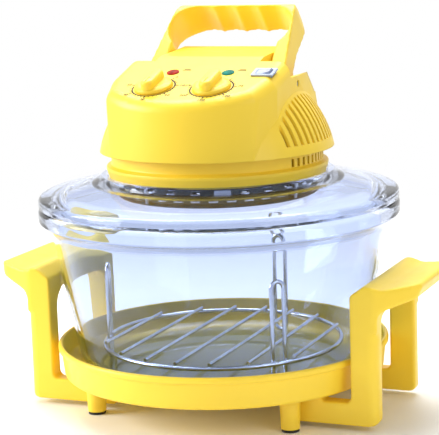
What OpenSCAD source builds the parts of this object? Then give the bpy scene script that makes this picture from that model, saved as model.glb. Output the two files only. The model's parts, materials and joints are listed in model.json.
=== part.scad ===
// Halogen oven. A glass bowl stands in a moulded tray with two side handles.
// A glass lid closes it and carries the head: lamp, two fans on one motor
// shaft, timer, thermostat, switch and a folding carrying handle.
// +Z is up, the control panel faces -Y, and the bowl's axis is the Z axis.

/* [Bowl and lid] */
// Outer diameter of the bowl's rim and of the lid
rim_d = 325; // [305:1:345]
// How much narrower the bowl is where it enters the tray
bowl_taper = 63; // [49:1:85]
// Height of the bowl, from its underside to the top of its rim
bowl_h = 151; // [130:1:185]
// Height of the bowl's rolled rim
rim_h = 13; // [10:0.5:16]
// Thickness of the glass
glass_t = 5; // [4:0.5:6]
// Rise of the lid, from the bowl's rim to the head's seat
lid_rise = 21.5; // [17:0.5:30]

/* [Tray stand] */
// Height of the tray's underside above the table
tray_z = 31; // [24:1:40]
// How far the tray's bead stands out past the bowl's base
tray_margin = 19.5; // [16:0.5:26]
// Height of the tray's wall, from its underside to the top of its bead
tray_h = 29.5; // [24:0.5:34]
// Thickness of the tray's moulding
tray_t = 3.5; // [2.5:0.5:4.5]
// Diameter of a foot
foot_d = 18; // [14:1:24]
// Distance of the feet from the bowl's axis
foot_ring_r = 121; // [112:1:121]
// Thickness of the rubber pad under a foot
pad_t = 2.5; // [1.5:0.5:4]

/* [Side handles] */
// How far the handles' posts stand out past the bowl's rim
handle_out = 4.5; // [0:0.5:12]
// Width of a handle post, in and out
post_w = 24; // [18:1:30]
// Depth of a handle post, front to back
post_t = 16; // [12:1:22]
// Half the handle's length, front to back
handle_half = 65; // [55:1:75]
// Height of the handle's top above the table
handle_top = 130; // [120:1:140]
// Underside of the handle's arms above the table
arm_z = 5; // [3:0.5:8]
// Height of the arms that reach in under the tray
arm_h = 19.5; // [14:0.5:22]
// How far the grip flares out past the posts
grip_flare = 36; // [26:1:42]

/* [Head] */
// Diameter of the flange that rests on the lid
flange_d = 194; // [190:1:200]
// Diameter of the slotted neck above the flange
neck_d = 190; // [186:1:192]
// Outer diameter of the head cover
cover_d = 210; // [204:1:224]
// Height of the base moulding, from the lid's seat to the cover
neck_h = 24.5; // [20:0.5:30]
// Half the width of the console between its side walls
console_half = 78; // [74:1:84]
// Height of the panel's front edge above the cover's lower edge
panel_front_h = 52; // [46:1:60]
// Slope of the control panel, in degrees
panel_slope = 17.5; // [12:0.5:24]
// Where the slope ends and the flat top begins, along Y
panel_crease_y = -2; // [-20:1:10]
// Rounding of the console's upper edges
edge_r = 12; // [8:1:14]
// Wall of the head cover
cover_t = 3; // [2.5:0.5:3.5]
// Number of louvres on each side
louvres = 15; // [7:2:15]
// Spacing of the louvres
louvre_pitch = 7.5; // [6.5:0.1:8]
// Number of air slots on each side of the neck
neck_slots = 12; // [4:2:14]

/* [Controls] */
// Diameter of a control knob
knob_d = 39; // [34:0.5:42]
// Distance between the two knobs
knob_spacing = 54; // [48:1:58]
// Where the knobs sit, along Y
knob_y = -71.5; // [-74:0.5:-66]
// Height of a knob's skirt and grip together
knob_h = 17; // [13:0.5:20]
// Diameter of an indicator lens
lens_d = 11; // [8:0.5:13]
// Where the lenses and the switch sit, along Y
lens_y = -41; // [-44:0.5:-36]
// Width and length of the rocker switch
switch_w = 20; // [16:0.5:22]
switch_l = 15; // [12:0.5:18]

/* [Carrying handle] */
// Length of an arm, from the pivot to the top of the grip
carry_len = 96; // [88:1:100]
// Lean of the handle from level, in degrees
carry_lean = 45; // [40:1:60]
// Half the width across the arms at the pivot
carry_half = 73; // [70:0.5:74]
// Width of an arm above its pivot boss
carry_arm_w = 14; // [12:0.5:16]
// Thickness of the grip, square to the arms
carry_t = 20; // [16:1:22]
// Diameter of the pivot pins
pivot_d = 6; // [5:0.5:8]

/* [Lamp, fans and motor] */
// Outer diameter of the lamp guard
guard_d = 180; // [170:1:182]
// Depth of the lamp guard
guard_h = 18; // [14:1:24]
// Diameter of the lamp's ring, middle of the tube
lamp_ring_d = 130; // [116:1:140]
// Diameter of the lamp's tube
lamp_d = 8; // [6:0.5:10]
// Diameter of the motor shaft
shaft_d = 6; // [5:0.5:8]
// Diameter of the hot-air fan, under the lamp's reflector
hot_fan_d = 96; // [80:1:104]
// Diameter of the cooling fan, above the heat shield
cool_fan_d = 112; // [90:1:130]

/* [Rack] */
// Diameter of the rack's ring
rack_d = 220; // [200:1:226]
// Thickness of the rack's wire
wire_d = 4; // [3:0.5:5]
// Height of the tall loops above the rack
loop_h = 73; // [50:1:76]

/* [Hidden] */
// Gap between pieces that lift off one another, running gap on shafts, gap of a pushed-on hub
seat_gap = 0.3;
run_gap = 0.1;
push_gap = 0.04;

yellow = [1, 0.85, 0.1];
glass = [0.72, 0.76, 0.9, 0.45];
steel = [0.75, 0.76, 0.78];
dark = [0.25, 0.26, 0.27];

// Heights of the stack, each from the one below
bowl_z = tray_z + tray_t + seat_gap;
rim_top = bowl_z + bowl_h;
lid_z = rim_top + seat_gap;
seat_z = lid_z + lid_rise;
seal_t = 1.2;
head_z = seat_z + seal_t;
cover_z = head_z + neck_h;

rim_r = rim_d / 2;
tray_r = (rim_d - bowl_taper) / 2 + tray_margin;
handle_x = rim_r + handle_out;
flange_r = flange_d / 2;
neck_r = neck_d / 2;
cover_r = cover_d / 2;
guard_r = guard_d / 2;

// Shape helpers. A rounded corner is an arc of corner_steps flats.
corner_steps = 6;
function unit(v) = v / norm(v);
function turn(a) = a > 180 ? a - 360 : a < -180 ? a + 360 : a;
function corner_arc(a, p, b, r) =
    r <= 0 ? [p] :
    let (u = unit(a - p), v = unit(b - p), half = acos(u * v) / 2, c = p + unit(u + v) * r / sin(half),
         s = p + u * r / tan(half) - c, e = p + v * r / tan(half) - c,
         start = atan2(s[1], s[0]), sweep = turn(atan2(e[1], e[0]) - start))
    [for (i = [0 : corner_steps]) c + r * [cos(start + sweep * i / corner_steps),
        sin(start + sweep * i / corner_steps)]];
// Each point is [x, y, corner radius]
function rounded(p) = [for (i = [0 : len(p) - 1])
    let (a = p[(i + len(p) - 1) % len(p)], q = p[i], b = p[(i + 1) % len(p)])
    each corner_arc([a[0], a[1]], [q[0], q[1]], [b[0], b[1]], q[2])];
module ring(outer_r, inner_r, h) difference() {
    cylinder(r = outer_r, h = h, $fn = 96);
    translate([0, 0, -1]) cylinder(r = inner_r, h = h + 2, $fn = 96);
}
module around(n, first = 0) for (i = [0 : n - 1]) rotate([0, 0, first + 360 * i / n]) children();

// ---- Tray stand ----
tray_top = tray_z + tray_h;
foot_angle = 40;
floor_r = tray_r - 18;
foot_bore_d = 3.2;
foot_head_h = 1.2;
module at_feet() for (sx = [-1, 1], sy = [-1, 1])
    translate([sx * foot_ring_r * cos(foot_angle), sy * foot_ring_r * sin(foot_angle), 0]) children();
// Handle screws stand where the handles' roots meet the tray
root_in = handle_x - 87;
root_out = handle_x - 53;
root_screw_x = (root_in + root_out) / 2;
root_screw_y = handle_half - post_t / 2;
module at_roots(side) for (sy = [-1, 1]) translate([side * root_screw_x, sy * root_screw_y, 0]) children();
handle_screw_d = 4;
handle_bore_d = 4.2;

// The tray is drawn as its rim and its floor, which meet in a ring under the bowl
module tray_rim() color(yellow) rotate_extrude($fn = 128) polygon(rounded([
    [floor_r + 0.05, tray_z, 0], [tray_r - 5, tray_z, 4], [tray_r - 2.4, tray_top - 6, 0],
    [tray_r, tray_top - 6, 1.4], [tray_r, tray_top, 2.4], [tray_r - 4, tray_top, 1.4],
    [tray_r - 7.5, tray_z + tray_t + 9, 6], [floor_r + 4, tray_z + tray_t, 6],
    [floor_r + 0.05, tray_z + tray_t, 0]]));

module base_tray() color(yellow) difference() {
    union() {
        translate([0, 0, tray_z]) cylinder(r = floor_r, h = tray_t, $fn = 128);
        at_feet() {
            translate([0, 0, pad_t])
                cylinder(d1 = foot_d - 1.5, d2 = foot_d + 0.5, h = tray_z - pad_t + 1, $fn = 48);
            translate([0, 0, tray_z - 5]) cylinder(d1 = foot_d + 1, d2 = foot_d + 3, h = 6, $fn = 48);
        }
        // Stiffening rings and spokes under the tray
        for (r = [tray_r * 0.3, tray_r * 0.6]) translate([0, 0, tray_z - 3]) ring(r + 1.2, r - 1.2, 4);
        for (a = [0 : 45 : 135]) rotate([0, 0, a]) translate([0, 0, tray_z - 1])
            cube([tray_r * 1.2, 2.4, 4], center = true);
    }
    at_feet() translate([0, 0, -1]) cylinder(d = foot_bore_d, h = 20, $fn = 24);
    for (side = [-1, 1]) at_roots(side) translate([0, 0, tray_z - 4])
        cylinder(d = handle_bore_d, h = 6.9, $fn = 24);
    // Flats under the tray where the handles' roots seat
    for (side = [-1, 1]) at_roots(side) translate([0, 0, tray_z - 5])
        cube([root_out - root_in + 2, post_t + 2, 10], center = true);
}

pad_pocket = pad_t * 0.7;
module foot_pads() color(dark) at_feet() difference() {
    cylinder(d = foot_d - 2.5, h = pad_t - 0.05, $fn = 48);
    translate([0, 0, -1]) cylinder(d = foot_bore_d + 0.2, h = pad_t + 2, $fn = 24);
    translate([0, 0, -1]) cylinder(d = 7, h = 1 + pad_pocket, $fn = 32);
}

module foot_screws() color(steel) at_feet() translate([0, 0, pad_pocket - 0.05 - foot_head_h]) {
    difference() {
        cylinder(d = 6.2, h = foot_head_h, $fn = 32);
        cube([1, 8, foot_head_h], center = true);
    }
    translate([0, 0, foot_head_h - 0.05]) cylinder(d = foot_bore_d - 0.2, h = 15, $fn = 24);
}

// Outer radius of the bowl and of its wall, low and high
wall_top_r = rim_r - 9.5;
wall_low_r = (rim_d - bowl_taper) / 2 - 3.3;
function bowl_wall_r(z) = wall_low_r + (wall_top_r - wall_low_r) * (z - bowl_z) / (bowl_h - rim_h - 3);

// Side handle, drawn for +X. Two L-shaped legs joined by a beam with a flared grip.
leg_in = handle_x - post_w;
grip_tip = handle_x + grip_flare;
arch_top = handle_top - 25;
module xz_slab(y0, y1) translate([0, y1, 0]) rotate([90, 0, 0]) linear_extrude(y1 - y0) children();
module side_handle() difference() {
    union() {
        // Legs
        intersection() {
            union() for (y0 = [-handle_half, handle_half - post_t]) xz_slab(y0, y0 + post_t)
                polygon(rounded([
                [root_in, arm_z, 2], [handle_x, arm_z, 6], [handle_x, handle_top - 18, 0],
                    [leg_in, handle_top - 18, 0],
                [leg_in, arm_z + arm_h, 5], [root_out + 4, arm_z + arm_h, 2], [root_out, tray_z - 0.05, 0],
                [root_in, tray_z - 0.05, 2]]));
            linear_extrude(handle_top) polygon(rounded([
                [0, -handle_half, 0], [handle_x, -handle_half, 8], [handle_x, handle_half, 8],
                    [0, handle_half, 0]]));
        }
        // Beam and flared grip
        intersection() {
            xz_slab(-handle_half, handle_half) polygon(rounded([
                [leg_in, handle_top - 44, 0], [leg_in, handle_top - 12, 4],
                    [leg_in + 14, handle_top - 2, 8],
                [handle_x + 4, handle_top - 6, 24], [grip_tip, handle_top - 1, 3],
                    [grip_tip - 5, handle_top - 14, 4],
                [handle_x, handle_top - 26, 10], [handle_x, handle_top - 44, 0]]));
            linear_extrude(handle_top + 5) polygon(rounded([
                [0, -handle_half, 0], [handle_x - 2, -handle_half, 12], [grip_tip, -handle_half + 16, 20],
                [grip_tip, handle_half - 16, 20], [handle_x - 2, handle_half, 12], [0, handle_half, 0]]));
        }
    }
    // Arched window between the legs
    translate([handle_x + 1, 0, 0]) rotate([0, -90, 0]) linear_extrude(post_w + 2) polygon(rounded([
        [-1, -handle_half + post_t, 0], [arch_top, -handle_half + post_t, 16],
        [arch_top, handle_half - post_t, 16], [-1, handle_half - post_t, 0]]));
    // Hollow of the beam, open below
    translate([leg_in + 10, -handle_half + post_t + 2, arch_top - 30])
        cube([post_w - 14, 2 * (handle_half - post_t - 2), 30 + 16]);
    // Clearance round the bowl's wall
    translate([0, 0, arch_top - 30]) cylinder(r = bowl_wall_r(handle_top + 3) + 3, h = 60, $fn = 128);
    // Screw bores and head pockets
    for (sy = [-1, 1]) translate([root_screw_x, sy * root_screw_y, 0]) {
        cylinder(d = handle_bore_d, h = tray_z + 5, $fn = 24);
        cylinder(d = 9, h = tray_z - 9, $fn = 32);
    }
}
module side_handle_left() color(yellow) mirror([1, 0, 0]) side_handle();
module side_handle_right() color(yellow) side_handle();

module handle_screws() color(steel) for (side = [-1, 1]) at_roots(side) {
    difference() {
        translate([0, 0, tray_z - 9 - 3.1]) cylinder(d = 8, h = 3, $fn = 32);
        translate([0, 0, tray_z - 9 - 3.6]) cube([1.2, 9, 2.4], center = true);
    }
    translate([0, 0, tray_z - 9.2]) cylinder(d = handle_screw_d, h = 11.5, $fn = 24);
}

// ---- Bowl, rack and lid ----
module glass_bowl() color(glass) translate([0, 0, bowl_z]) rotate_extrude($fn = 128) polygon(rounded([
    [0, 0, 0], [wall_low_r, 0, 24], [wall_top_r, bowl_h - rim_h - 3, 12], [rim_r, bowl_h - rim_h, 3],
    [rim_r, bowl_h, 4.5], [rim_r - 12, bowl_h, 3], [wall_top_r - glass_t, bowl_h - rim_h - 2, 8],
    [wall_low_r - glass_t, glass_t, 19], [0, glass_t, 0]]));

// Rack: ring and cross wires on short loops below and tall loops above
rack_leg = 15;
rack_z = bowl_z + glass_t + seat_gap + rack_leg + wire_d / 2;
rack_r = rack_d / 2;
loop_w = 16;
cross_wires = 7;
cross_pitch = rack_d * 3 / 22;
cross_d = wire_d * 0.8;
module wire_loop(h) {
    for (s = [-1, 1]) translate([0, s * (loop_w - wire_d) / 2, 0])
        cylinder(d = wire_d, h = h - loop_w / 2, $fn = 24);
    translate([0, 0, h - loop_w / 2]) rotate([90, 0, 90])
        rotate_extrude(angle = 180, $fn = 48) translate([(loop_w - wire_d) / 2, 0])
            circle(d = wire_d, $fn = 24);
}
module rack_ring() color(steel) translate([0, 0, rack_z])
    rotate_extrude($fn = 128) translate([rack_r - wire_d / 2, 0]) circle(d = wire_d, $fn = 24);
module rack_wires() color(steel) translate([0, 0, rack_z + (wire_d + cross_d) / 2 + 0.03])
    for (i = [0 : cross_wires - 1]) let (
        x = (i - (cross_wires - 1) / 2) * cross_pitch,
        half = sqrt(pow(rack_r - wire_d / 2, 2) - x * x))
    translate([x, half, 0]) rotate([90, 0, 0]) cylinder(d = cross_d, h = 2 * half, $fn = 20);
module rack_loops() color(steel) translate([0, 0, rack_z])
    around(3, 200) translate([rack_r - wire_d * 1.5 - 0.3, 0, 0]) {
        wire_loop(loop_h);
        mirror([0, 0, 1]) wire_loop(rack_leg + wire_d / 2);
    }

hole_r = flange_r - 3.5;
module glass_lid() color(glass) translate([0, 0, lid_z]) rotate_extrude($fn = 128) polygon(rounded([
    [hole_r, lid_rise - glass_t, 1], [flange_r + 16, lid_rise - glass_t - 1.2, 12], [rim_r - 22, 6, 12],
    [rim_r - 20.5, -6, 1.5], [rim_r - 15.5, -6, 1.5], [rim_r - 15, 0, 0.8], [rim_r - 0.5, 0, 1.5],
    [rim_r - 0.5, 8.5, 5], [rim_r - 14, 12.5, 14], [flange_r + 16, lid_rise - 0.8, 12],
        [flange_r + 7.5, lid_rise + 4.6, 3],
    [flange_r + 2, lid_rise + 4.6, 1.2], [flange_r + 1.2, lid_rise, 0.6], [hole_r, lid_rise, 1]]));

// ---- Head, below the cover ----
module lid_seal() color(dark) translate([0, 0, seat_z + 0.05])
    ring(flange_r - 1, hole_r + 0.6, seal_t - 0.1);

// Clips under the head's flange that hook below the edge of the glass
clamp_t = 1;
clamp_w = 14;
clamp_z = seat_z - glass_t - 0.5;
module lid_clamps() color(steel) around(4, 25) rotate([90, 0, 0]) translate([hole_r - 1.2, 0, -clamp_w / 2])
    linear_extrude(clamp_w) polygon([[-8, head_z - 0.1], [-8, head_z - 0.1 - clamp_t],
        [-clamp_t, head_z - 0.1 - clamp_t], [-clamp_t, clamp_z - clamp_t], [4.5, clamp_z - clamp_t],
        [4.5, clamp_z], [0, clamp_z], [0, head_z - 0.1]]);

post_angle = -20;
base_ledge_r = guard_r - 6;
base_screw_r = 87;
deck_r = cover_r - cover_t - 1.2;
module head_base() color(yellow) difference() {
    translate([0, 0, head_z]) rotate_extrude($fn = 128) polygon(rounded([
        [base_ledge_r, 0, 0], [flange_r, 0, 1.5], [flange_r + 2.5, 9, 2], [flange_r + 2.5, 11.5, 1.2],
            [neck_r, 13.5, 1.5],
        [neck_r, neck_h, 0], [deck_r, neck_h, 0], [deck_r, neck_h + 2.5, 0.8],
        [cool_fan_d / 2 + 4, neck_h + 2.5, 0], [cool_fan_d / 2 + 4, neck_h, 0], [neck_r - 3, neck_h, 1],
        [neck_r - 3, 3, 1], [base_ledge_r, 3, 0]]));
    for (side = [0, 180], i = [0 : neck_slots - 1])
        rotate([0, 0, side + (i - (neck_slots - 1) / 2) * 4.4])
            translate([neck_r - 5, -1.6, head_z + 14]) cube([8, 3.2, 7]);
    around(4, 45) translate([base_screw_r, 0, head_z + neck_h - 1]) cylinder(d = 3.4, h = 5, $fn = 24);
}

module cover_screws() color(steel) around(4, 45) translate([base_screw_r, 0, head_z + neck_h]) {
    translate([0, 0, -2.2]) difference() {
        cylinder(d = 6.2, h = 2.15, $fn = 32);
        translate([0, 0, -0.2]) cube([1, 8, 1.8], center = true);
    }
    translate([0, 0, -0.1]) cylinder(d = 3, h = 13, $fn = 24);
}

module heat_shield() color(steel) translate([0, 0, head_z + 3.05]) {
    ring(neck_r - 4.2, shaft_d / 2 + 3, 0.8);
    ring(neck_r - 4.2, neck_r - 5, 4);
    ring(shaft_d / 2 + 4, shaft_d / 2 + 3, 3);
}

reflector_z = head_z - 4.8;
module reflector() color(steel) difference() {
    translate([0, 0, head_z]) rotate_extrude($fn = 96) polygon([
        [hole_r - 0.8, -0.1], [base_ledge_r - 2, -0.1], [base_ledge_r - 7, -4], [shaft_d / 2 + 3, -4],
        [shaft_d / 2 + 3, -4.8], [base_ledge_r - 6.6, -4.8], [base_ledge_r - 1.6, -0.9],
            [hole_r - 0.8, -0.9]]);
    for (s = [-1, 1]) at_lamp_end(s) cylinder(d = lamp_d + 1, h = 20, $fn = 32);
    // Notches for the clips
    around(4, 25) translate([hole_r - 10, -clamp_w / 2 - 0.3, head_z - 2]) cube([12, clamp_w + 0.6, 3]);
}

lamp_r = lamp_ring_d / 2;
lamp_z = head_z - 13;
lamp_gap = 11;
module at_lamp_end(s) rotate([0, 0, 90 + s * lamp_gap]) translate([lamp_r, 0, lamp_z]) children();
module halogen_lamp() color([0.9, 0.9, 0.85, 0.7]) {
    translate([0, 0, lamp_z]) rotate([0, 0, 90 + lamp_gap])
        rotate_extrude(angle = 360 - 2 * lamp_gap, $fn = 96)
        translate([lamp_r, 0]) circle(d = lamp_d, $fn = 32);
    for (s = [-1, 1]) at_lamp_end(s) translate([0, 0, -lamp_d / 2 - 0.4])
        cylinder(d = lamp_d + 0.8, h = 10, $fn = 32);
}

module lamp_end_caps() color("white") for (s = [-1, 1]) at_lamp_end(s) difference() {
    translate([0, 0, lamp_d / 2 + 0.3]) cylinder(d = lamp_d + 5, h = 3.8, $fn = 32);
    translate([0, 0, lamp_d / 2 - 2]) cylinder(d = lamp_d + 0.9, h = 3.7, $fn = 32);
}

module lamp_clips() color(steel) around(3, 30) translate([lamp_r, 0, lamp_z]) {
    rotate([90, 0, 0]) translate([0, 0, -1]) ring(lamp_d / 2 + 0.9, lamp_d / 2 + 0.1, 2);
    translate([-0.4, -1, lamp_d / 2 + 0.6]) cube([0.8, 2, reflector_z - lamp_z - lamp_d / 2 - 0.65]);
}

// Lamp guard: a perforated drum with a rolled lower rim and a slotted floor
guard_z = head_z - guard_h - 2.8;
module lamp_guard() color(dark) difference() {
    translate([0, 0, guard_z]) {
        ring(guard_r - 2, guard_r - 3, guard_h + 1.6);
        cylinder(r = guard_r - 2.5, h = 0.9, $fn = 96);
        rotate_extrude($fn = 96) translate([guard_r - 1.5, 1.5]) circle(r = 1.5, $fn = 24);
    }
    // Two rows of openings round the wall
    for (row = [0, 1]) around(24, row * 7.5) translate([guard_r - 6, -4,
        guard_z + 4 + row * guard_h * 0.44])
        cube([8, 8, 3.4]);
    // Radial slots in the floor
    around(20, 0) translate([guard_r * 0.5, -3, guard_z - 1]) cube([guard_r * 0.38, 6, 4]);
    around(10, 9) translate([guard_r * 0.18, -2.5, guard_z - 1]) cube([guard_r * 0.24, 5, 4]);
}

module guard_posts() color(steel) around(4, post_angle) translate([guard_r + 0.7, 0, guard_z + 2.9])
    cylinder(d = 3, h = head_z - 0.95 - guard_z - 2.9, $fn = 24);

module thermostat_bulb() color("peru") rotate([0, 0, 60]) translate([guard_r - 12, 0, lamp_z + 3]) {
    rotate([90, 0, 0]) translate([0, 0, -18]) cylinder(d = 5, h = 36, $fn = 24);
    for (s = [-1, 1]) translate([0, 18 * s, 0]) sphere(d = 5, $fn = 24);
    translate([-1, -2, 0]) cube([2, 4, reflector_z - lamp_z - 3 - 0.05]);
}

// ---- Motor, shaft and fans ----
motor_z = head_z + neck_h + 2.5 + 2.2;
motor_h = 30;
rotor_d = 28;
module motor_bracket() color(steel) translate([0, 0, head_z + neck_h + 2.55]) difference() {
    union() {
        translate([0, 0, 1]) cube([2 * (cool_fan_d / 2 + 16), 26, 2], center = true);
        cylinder(d = 40, h = 2, $fn = 48);
    }
    translate([0, 0, -1]) cylinder(d = 14, h = 4, $fn = 48);
}
module motor_frame() color(dark) translate([0, 0, motor_z]) difference() {
    union() {
        // Laminated core with its coil at one side
        translate([0, 0, motor_h / 2]) cube([62, 52, 16], center = true);
        translate([0, 33, motor_h / 2]) cube([36, 16, 26], center = true);
        // End caps that hold the bushes
        cylinder(d = 44, h = motor_h, $fn = 64);
    }
    translate([0, 0, 4]) cylinder(d = rotor_d + 1, h = motor_h - 8, $fn = 64);
    translate([0, 0, -1]) cylinder(d = 12, h = motor_h + 2, $fn = 48);
}
module motor_bushes() color("peru") for (z = [0, motor_h - 4]) translate([0, 0, motor_z + z])
    ring(5.95, shaft_d / 2 + run_gap / 2, 4);

shaft_top = motor_z + motor_h + 4;
shaft_low = head_z - 17;
module motor_shaft() color(steel) {
    translate([0, 0, shaft_low]) cylinder(d = shaft_d, h = shaft_top - shaft_low, $fn = 32);
    translate([0, 0, motor_z + 5]) cylinder(d = rotor_d, h = motor_h - 10, $fn = 64);
}
module fan(d, h, blades, hub_d, plate_t) difference() {
    union() {
        cylinder(d = d, h = plate_t, $fn = 96);
        cylinder(d = hub_d, h = h, $fn = 48);
        around(blades) translate([hub_d * 0.45, -0.5, 0]) rotate([0, 0, 8])
            cube([d / 2 - hub_d * 0.45 - 2, 1, h - 1]);
    }
    translate([0, 0, -1]) cylinder(d = shaft_d + push_gap, h = h + 2, $fn = 32);
}
module hot_air_fan() color(steel) translate([0, 0, reflector_z - 1]) mirror([0, 0, 1])
    fan(hot_fan_d, 8, 8, 16, 0.8);
module cooling_fan() color(steel) translate([0, 0, head_z + 8]) fan(cool_fan_d, 12, 12, 18, 0.8);
module fan_nut() color(steel) translate([0, 0, reflector_z - 11.1]) difference() {
    cylinder(d = 11, h = 2, $fn = 6);
    translate([0, 0, -1]) cylinder(d = shaft_d + push_gap, h = 4, $fn = 32);
}

// ---- Head cover ----
// The cover is a dome with a console through it: a sloped panel in front, a
// flat hump behind it, and a channel at each side for the handle's arm.
panel_front_y = -(cover_r - 6);
function panel_z(y) = cover_z + panel_front_h + tan(panel_slope) * (min(y, panel_crease_y) - panel_front_y);
module on_panel(x, y) translate([x, y, panel_z(y)]) rotate([panel_slope, 0, 0]) children();

dome_c = [7, -20];
dome_r = norm([cover_r - dome_c[0], dome_c[1]]);
dome_cap = panel_front_h + 10;
pivot_y = 2;
hump_top = panel_z(panel_crease_y) + 3;
pivot_z = hump_top - 28.5;
rim_z = pivot_z + 7;
arm_half = carry_half - 7.5;
channel_in = arm_half - carry_arm_w - 1.5;
channel_out = carry_half + 1.5;
channel_floor = pivot_z - carry_t / 2 - 3;
front_angle = 40;
hump_back_y = 62;
hump_foot_y = 80;
side_back_y = sqrt(pow(cover_r - 5, 2) - pow(console_half, 2));

// Console outline in plan, drawn in by t
function console_plan(t) = concat(
    [for (a = [-front_angle : 5 : front_angle]) (cover_r - t) * [sin(a), -cos(a)]],
    [[console_half - t, -50], [console_half - t, side_back_y - t], [console_half - 26, hump_foot_y - t],
     [26 - console_half, hump_foot_y - t], [t - console_half, side_back_y - t], [t - console_half, -50]]);
// Middles of the rounding along the console's upper edge
edge_run = cover_r - edge_r;
side_run = console_half - edge_r;
function under_panel(p) = [p[0], p[1], panel_z(p[1]) - edge_r / cos(panel_slope)];
edge_middles = concat(
    [for (a = [-front_angle : 16 : front_angle]) under_panel(edge_run * [sin(a), -cos(a)])],
    [for (s = [-1, 1]) each [under_panel([s * side_run, -48]),
        under_panel([s * side_run, panel_crease_y - 2]),
        [s * (side_run - 6), hump_back_y - edge_r, hump_top - edge_r]]]);
module console(t) hull() {
    translate([0, 0, cover_z - (t > 0 ? 1 : 0)]) linear_extrude(2) polygon(console_plan(t));
    for (p = edge_middles) translate(p) sphere(r = edge_r - t, $fn = 28);
}
module dome(t) translate([0, 0, cover_z]) rotate_extrude($fn = 128) difference() {
    intersection() {
        translate(dome_c) circle(r = dome_r - t, $fn = 160);
        translate([0, t > 0 ? -1 : 0]) square([cover_r + 10, dome_cap - t + (t > 0 ? 1 : 0)]);
    }
    translate([-cover_r, -2]) square([cover_r, dome_r * 2]);
}
// Space of the arms, grown by t
module channels(t) for (s = [0, 1]) mirror([s, 0, 0]) {
    translate([channel_in - t, pivot_y - carry_t / 2 - 3 - t, channel_floor - t])
        cube([channel_out - channel_in + 2 * t, cover_d, 90]);
    translate([channel_in - t, pivot_y - carry_t / 2 - 8 - t, rim_z - t]) cube([cover_d, cover_d, 90]);
}
inlet_y = cover_r + 1;
inlet_z = cover_z + 19;
inlet_w = 30;
inlet_h = 20;
boss_xy = base_screw_r * sin(45);
boss_tops = [[-1, panel_z(-boss_xy - 4.5) - cover_t / 2], [1, channel_floor - 1]];
module inlet_housing(t) translate([-inlet_w / 2 - 6 + t, 60, inlet_z - inlet_h / 2 - 5 + t])
    cube([inlet_w + 12 - 2 * t, inlet_y - 60 - t, inlet_h + 10 - 2 * t]);

module head_cover() color(yellow) difference() {
    union() {
        difference() {
            union() {
                console(0);
                dome(0);
                inlet_housing(0);
            }
            channels(0);
            difference() {
                union() {
                    console(cover_t);
                    dome(cover_t);
                    inlet_housing(cover_t);
                }
                channels(cover_t);
            }
        }
        // Screw bosses, up to the panel in front and to the channels' floors behind
        for (s = [-1, 1], b = boss_tops) translate([s * boss_xy, b[0] * boss_xy, cover_z + 2.6])
            cylinder(d = 9, h = b[1] - cover_z - 2.6, $fn = 32);
    }
    around(4, 45) translate([base_screw_r, 0, cover_z]) cylinder(d = 3.1, h = 16, $fn = 24);
    // Louvres
    for (s = [0, 1], i = [0 : louvres - 1]) mirror([s, 0, 0])
        translate([console_half + 2, (i - (louvres - 1) / 2) * louvre_pitch - 1.8, cover_z + 8.5])
            cube([cover_r, 3.6, 60]);
    // Holes in the panel
    for (s = [-1, 1]) on_panel(s * knob_spacing / 2, knob_y)
        cylinder(d = shaft_d + 2, h = 20, center = true, $fn = 32);
    for (x = lens_x) on_panel(x, lens_y) cylinder(d = lens_d - 2, h = 20, center = true, $fn = 32);
    on_panel(switch_x, lens_y) cube([switch_w - 3, switch_l - 3, 20], center = true);
    // Pivot pins and power inlet
    translate([0, pivot_y, pivot_z]) rotate([0, 90, 0])
        cylinder(d = pivot_d + run_gap, h = 2 * console_half + 4, center = true, $fn = 32);
    translate([-inlet_w / 2 - 0.2, 80, inlet_z - inlet_h / 2 - 0.2])
        cube([inlet_w + 0.4, 40, inlet_h + 0.4]);
}

// ---- Controls ----
lens_x = [-knob_spacing / 2 + 5, knob_spacing / 2 + 3];
switch_x = 63.5 * console_half / 78;
dial_body_h = 26;
module dial_body(x, w, l) on_panel(x, knob_y) translate([0, 0, -cover_t - 0.5]) difference() {
    union() {
        translate([0, 0, -dial_body_h / 2]) cube([w, l, dial_body_h], center = true);
        translate([0, 0, -dial_body_h - 2]) cylinder(d = w * 0.7, h = 4, $fn = 48);
    }
    translate([0, 0, -14]) cylinder(d = shaft_d + run_gap, h = 20, $fn = 32);
}
module timer_body() color("beige") dial_body(-knob_spacing / 2, 36, 28);
module thermostat_body() color("beige") dial_body(knob_spacing / 2, 32, 28);

module dial_shaft(x) on_panel(x, knob_y) translate([0, 0, -cover_t - 12])
    cylinder(d = shaft_d, h = cover_t + 12 + knob_h - 7, $fn = 32);
module timer_shaft() color(steel) dial_shaft(-knob_spacing / 2);
module thermostat_shaft() color(steel) dial_shaft(knob_spacing / 2);

// Knob: a low skirt with a tall tapered bar across it
module knob(x) on_panel(x, knob_y) difference() {
    union() {
        translate([0, 0, 0.3]) rotate_extrude($fn = 72) polygon(rounded([
            [0, 0, 0], [knob_d / 2, 0, 0.5], [knob_d / 2 - 0.8, 5, 1.5], [knob_d / 2 - 5, 6.5, 3],
                [0, 6.5, 0]]));
        intersection() {
            rotate([90, 0, 0]) translate([0, 0, -knob_d / 2]) linear_extrude(knob_d) polygon(rounded([
                [-7, 3, 0], [-4.6, knob_h, 4.2], [4.6, knob_h, 4.2], [7, 3, 0]]));
            rotate([90, 0, 90]) translate([0, 0, -knob_d / 2]) linear_extrude(knob_d) polygon(rounded([
                [-knob_d / 2 + 1.6, 3, 0], [-knob_d / 2 + 3.5, knob_h, 6],
                    [knob_d / 2 - 3.5, knob_h, 6], [knob_d / 2 - 1.6, 3, 0]]));
            translate([0, 0, 3]) cylinder(d = knob_d - 1.8, h = knob_h, $fn = 72);
        }
    }
    translate([0, 0, -1]) cylinder(d = shaft_d + push_gap, h = knob_h - 5.95, $fn = 32);
}
module timer_knob() color(yellow) knob(-knob_spacing / 2);
module thermostat_knob() color(yellow) knob(knob_spacing / 2);

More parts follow.
